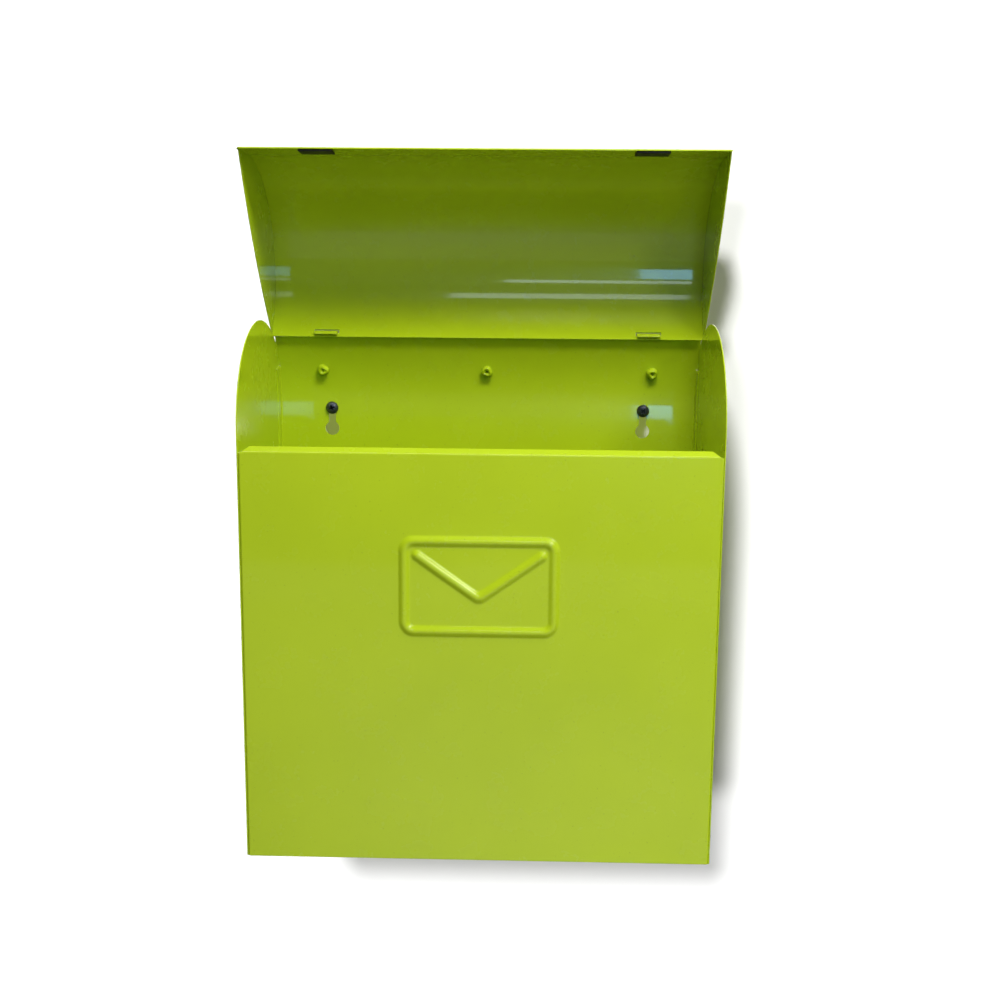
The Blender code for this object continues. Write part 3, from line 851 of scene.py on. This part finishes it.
def roll_mark(column, along, calm):
    """Height of the faint ridges that rolling leaves across the cover."""
    fine = noise.noise(Vector((column * 0.5, 7, along * 85)))
    coarse = noise.noise(Vector((column * 1.5, 5, along * 30)))
    return ROLL_MARK * calm * (fine + 0.6 * coarse)


def make_lid_cover():
    """One curved sheet, from the bridges behind its slots to the free edge of its front strip."""
    strip = ARC_CENTRE.y - LID_EDGE_Z
    length = (pi - HINGE_ANGLE) * LID_RADIUS + BRIDGE_HALF + strip
    quarter = pi / 2 / CORNER_STEPS
    near_end = [LID_CORNER * (1 - cos(quarter * step)) for step in range(CORNER_STEPS + 1)]
    stations = near_end + line(LID_CORNER, length - LID_CORNER, COVER_STEP)[1:-1]
    stations += [length - along for along in reversed(near_end)]
    columns = line(-1, 1, COVER_COLUMN)
    bm = bmesh.new()
    rows = []
    for along in stations:
        from_end = min(along, length - along, LID_CORNER)
        reach = LID_HALF_WIDTH - LID_CORNER + sqrt(LID_CORNER**2 - (LID_CORNER - from_end)**2)
        calm = min(1, along / ROLL_CALM_REAR)
        calm *= max(0, min(1, (length - strip - along) / ROLL_CALM_FRONT))
        row = []
        for column in columns:
            point = cover_point(along, roll_mark(column, along, calm))
            row.append(bm.verts.new((column * reach, point.x, point.y)))
        rows.append(row)
    skin(bm, rows)
    turn = HINGE_ANGLE + (BRIDGE_HALF + SLOT_WIDTH / 2) / LID_RADIUS
    slot = ARC_CENTRE - HINGE + Vector((cos(turn), sin(turn))) * LID_RADIUS
    slots = []
    for side in (-1, 1):
        centre = Vector((side * HOOK_X, slot.x, slot.y))
        slots.append(new_object("slot", block(centre, (SLOT_LENGTH, SLOT_DEPTH, SLOT_WIDTH), turn)))
    sheet_piece("lid_cover_sheet", bm, "lid", "lid_cover", slots, LID_OPEN)


def cheek_outline():
    """Outline of a lid cheek: the cover's arc, and a lower edge that bulges slightly."""
    inner_radius = LID_RADIUS - SHEET / 2 + CHEEK_SINK
    outline = arc(ARC_CENTRE - HINGE, inner_radius, HINGE_ANGLE, pi, CHEEK_STEPS)
    low = Vector((outline[-1].x, LID_EDGE_Z - HINGE.y + LID_CORNER))
    chord = outline[0] - low
    bulge_radius = (chord.length**2 / 4 + CHEEK_BULGE**2) / (2 * CHEEK_BULGE)
    square = Vector((chord.y, -chord.x)).normalized()
    centre = low + chord / 2 - square * (bulge_radius - CHEEK_BULGE)
    start = atan2(low.y - centre.y, low.x - centre.x)
    end = atan2(outline[0].y - centre.y, outline[0].x - centre.x)
    return outline + arc(centre, bulge_radius, start, end, 32)[:-1]


def make_lid_cheeks():
    """End plates of the lid, just outside the side panels."""
    for name, side in (("left", -1), ("right", 1)):
        cheek = f"lid_{name}_cheek"
        plate(cheek + "_sheet", cheek_outline(), side * CHEEK_X, "lid", cheek, LID_OPEN)


def make_lid_pads():
    """Bump pads inside the front strip: soft-edged rubber blocks."""
    strip_face = ARC_CENTRE.x - LID_RADIUS + SHEET / 2 - HINGE.x
    centre_y = strip_face + PAD_SIZE.y / 2
    centre_z = LID_EDGE_Z - HINGE.y + PAD_RISE + PAD_SIZE.z / 2
    for name, side in (("left", -1), ("right", 1)):
        bm = bmesh.new()
        bmesh.ops.create_cube(bm, size=1, matrix=Matrix.Diagonal((*PAD_SIZE, 1)))
        bmesh.ops.bevel(bm, geom=bm.edges[:], offset=PAD_ROUND, segments=3, profile=0.6, affect="EDGES")
        pad = new_object(f"lid_pad_{name}_rubber", bm)
        pad.data.transform(LID_OPEN @ Matrix.Translation((side * PAD_X, centre_y, centre_z)))
        finish_piece(pad, "black_rubber", "lid", "lid_pad_" + name)


# ---------------------------------------------------------------- stage

def aim(obj, place, target):
    """Put a light somewhere, and point it at a target."""
    obj.location = place
    obj.rotation_euler = (Vector(target) - Vector(place)).to_track_quat("-Z", "Y").to_euler()


def soft_light(name, place, target, size, power, color=WARM):
    """A rectangular light for the box, which the camera can't see and which leaves the wall alone."""
    lamp = bpy.data.lights.new(name, "AREA")
    lamp.shape = "RECTANGLE"
    lamp.size, lamp.size_y = size
    lamp.energy = power
    lamp.color = color
    light = bpy.data.objects.new(name, lamp)
    bpy.context.scene.collection.objects.link(light)
    light.visible_camera = False
    light.light_linking.receiver_collection = BOX_ONLY
    aim(light, place, target)
    return light


def window(name, low_azimuth, high_azimuth, low_elevation, high_elevation, radiance, color):
    """A bright pane far in front of the lid, given by the angles at which the lid sees it."""
    middle = radians((low_azimuth + high_azimuth) / 2)
    rise = radians((low_elevation + high_elevation) / 2)
    outward = Vector((sin(middle), -cos(middle), tan(rise)))
    level = Vector((0, 0, WINDOW_LEVEL))
    width = 2 * WINDOW_DISTANCE * tan(radians(high_azimuth - low_azimuth) / 2)
    height = 2 * WINDOW_DISTANCE * tan(radians(high_elevation - low_elevation) / 2) / cos(rise)
    power = radiance * pi * width * height
    soft_light(name, level + outward * WINDOW_DISTANCE, level, (width, height), power, color)


def shade_with(obj, name, kind, color):
    """Give a stage object a new material, and return its nodes, its links and its one shader."""
    material = bpy.data.materials.new(name)
    material.use_nodes = True
    nodes = material.node_tree.nodes
    nodes.remove(nodes["Principled BSDF"])
    shader = nodes.new(kind)
    shader.inputs["Color"].default_value = (*color, 1)
    obj.data.materials.append(material)
    return nodes, material.node_tree.links, shader


def make_floor():
    """The pale floor, below the camera's view of the hung box, which it neither lights nor mirrors in."""
    bm = bmesh.new()
    bmesh.ops.create_circle(bm, cap_ends=True, segments=96, radius=FLOOR_RADIUS)
    bmesh.ops.translate(bm, verts=bm.verts[:], vec=(0, 0, FLOOR_Z - FLOOR_DROP))
    floor = new_object("floor", bm)
    nodes, links, glow = shade_with(floor, "pale_floor", "ShaderNodeEmission", (0.93, 0.93, 0.93))
    links.new(glow.outputs["Emission"], nodes["Material Output"].inputs["Surface"])
    floor.visible_diffuse = False
    floor.visible_glossy = False


def make_wall():
    """The wall that the box hangs on: it can be seen from its front only, and lights nothing."""
    upright = Matrix.Translation((0, WALL_GAP, 0)) @ Matrix.Rotation(pi / 2, 4, "X")
    bm = bmesh.new()
    bmesh.ops.create_grid(bm, size=WALL_HALF, matrix=upright)
    wall = new_object("wall", bm)
    nodes, links, paint = shade_with(wall, "white_wall", "ShaderNodeBsdfDiffuse", (0.8, 0.8, 0.8))
    mix = nodes.new("ShaderNodeMixShader")
    links.new(nodes.new("ShaderNodeNewGeometry").outputs["Backfacing"], mix.inputs["Fac"])
    links.new(paint.outputs["BSDF"], mix.inputs[1])
    links.new(nodes.new("ShaderNodeBsdfTransparent").outputs["BSDF"], mix.inputs[2])
    links.new(mix.outputs["Shader"], nodes["Material Output"].inputs["Surface"])
    for way in ("diffuse", "glossy", "shadow", "transmission"):
        setattr(wall, "visible_" + way, False)
    return wall


def wall_light(name, direction, softness, strength):
    """A sun that lights nothing but the wall."""
    lamp = bpy.data.lights.new(name, "SUN")
    lamp.angle = radians(softness)
    lamp.energy = strength
    light = bpy.data.objects.new(name, lamp)
    bpy.context.scene.collection.objects.link(light)
    light.rotation_euler = Vector(direction).to_track_quat("-Z", "Y").to_euler()
    light.light_linking.receiver_collection = WALL_ONLY


def make_world():
    """White to the camera, and nearly dark to the object."""
    world = bpy.data.worlds.new("studio")
    bpy.context.scene.world = world
    world.use_nodes = True
    nodes = world.node_tree.nodes
    link = world.node_tree.links.new
    room = nodes["Background"]
    room.inputs["Color"].default_value = (0.05, 0.05, 0.05, 1)
    white = nodes.new("ShaderNodeBackground")
    white.inputs["Color"].default_value = (1, 1, 1, 1)
    mix = nodes.new("ShaderNodeMixShader")
    link(nodes.new("ShaderNodeLightPath").outputs["Is Camera Ray"], mix.inputs["Fac"])
    link(room.outputs["Background"], mix.inputs[1])
    link(white.outputs["Background"], mix.inputs[2])
    link(mix.outputs["Shader"], nodes["World Output"].inputs["Surface"])


def studio_light(name, azimuth, elevation, size, power):
    """A soft light round the box: azimuth 0 is straight in front, and positive is to the right."""
    turn, rise = radians(azimuth), radians(elevation)
    outward = Vector((sin(turn) * cos(rise), -cos(turn) * cos(rise), sin(rise)))
    return soft_light(name, LIT_POINT + outward * LIGHT_DISTANCE, LIT_POINT, size, power)


def make_lights():
    """Lights for the box, some of which only fill its shade and don't show in its gloss; then the wall's."""
    studio_light("key", 45, 45, (0.5, 0.5), 9)
    studio_light("overhead", 0, 60, (2.4, 0.4), 14)
    studio_light("right_low", 30, 25, (0.5, 0.5), 6)
    high = studio_light("right_high", 25, 50, (0.5, 0.5), 4)
    studio_light("right_wall", 75, 10, (1.5, 1.5), 4)
    studio_light("room", 0, 0, (4, 1.2), 1.2)
    studio_light("room_low", 0, -28, (4, 1.2), 4)
    ceiling = studio_light("ceiling", 0, 83, (3, 0.5), 8)
    studio_light("back_left", -140, 30, (1.5, 1.5), 30)
    studio_light("back_right", 150, 10, (1.5, 1.5), 20)
    bounce = soft_light("bounce", (0.15, -0.5, -0.45), (0, -0.117, -0.27), (0.7, 0.3), 1.2)
    mouth = soft_light("mouth", (0.1, -0.35, 0.45), (0, -0.03, -0.02), (0.25, 0.1), 2.2)
    for light in (high, ceiling, bounce, mouth):
        light.visible_glossy = False
    window("pane", 7.6, 11.3, -6.3, 2.8, 8, (0.26, 0.62, 1.0))
    window("tube_near", -0.9, 11.3, 4.6, 7.6, 5, (0.75, 0.9, 1.0))
    window("tube_far", -4.7, 11.3, 19.5, 24.5, 4, (0.8, 0.93, 1.0))
    wall_light("wall_sun_right", (0.3, 1, -0.12), 8, 1.5)
    wall_light("wall_sun_down", (0.26, 1, -0.6), 8, 3.3)
    wall_light("wall_sky", (0, 1, -0.3), 120, 0.6)


def make_camera():
    """A camera nearly square to the box, a little above its middle and looking slightly down."""
    data = bpy.data.cameras.new("camera")
    data.lens = LENS_MM
    data.sensor_width = SENSOR_MM
    camera = bpy.data.objects.new("camera", data)
    bpy.context.scene.collection.objects.link(camera)
    camera.location = CAMERA_PLACE
    look = Matrix.Rotation(CAMERA_LEFT, 4, "Z") @ Matrix.Rotation(pi / 2 - CAMERA_DOWN, 4, "X")
    camera.rotation_euler = (look @ Matrix.Rotation(CAMERA_ROLL, 4, "Z")).to_euler()
    bpy.context.scene.camera = camera


make_front_panel()
make_side_panels()
make_bottom_panel()
make_back_panel()
make_hinge_strip()
make_rivets()
make_wall_screws()
make_lid_cover()
make_lid_cheeks()
make_lid_pads()

# The objects that each kind of light falls on
BOX_ONLY = bpy.data.collections.new("box_only")
for item in bpy.context.scene.objects:
    BOX_ONLY.objects.link(item)
WALL_ONLY = bpy.data.collections.new("wall_only")
make_floor()
WALL_ONLY.objects.link(make_wall())
make_world()
make_lights()
make_camera()
bpy.context.scene.view_settings.view_transform = "Standard"
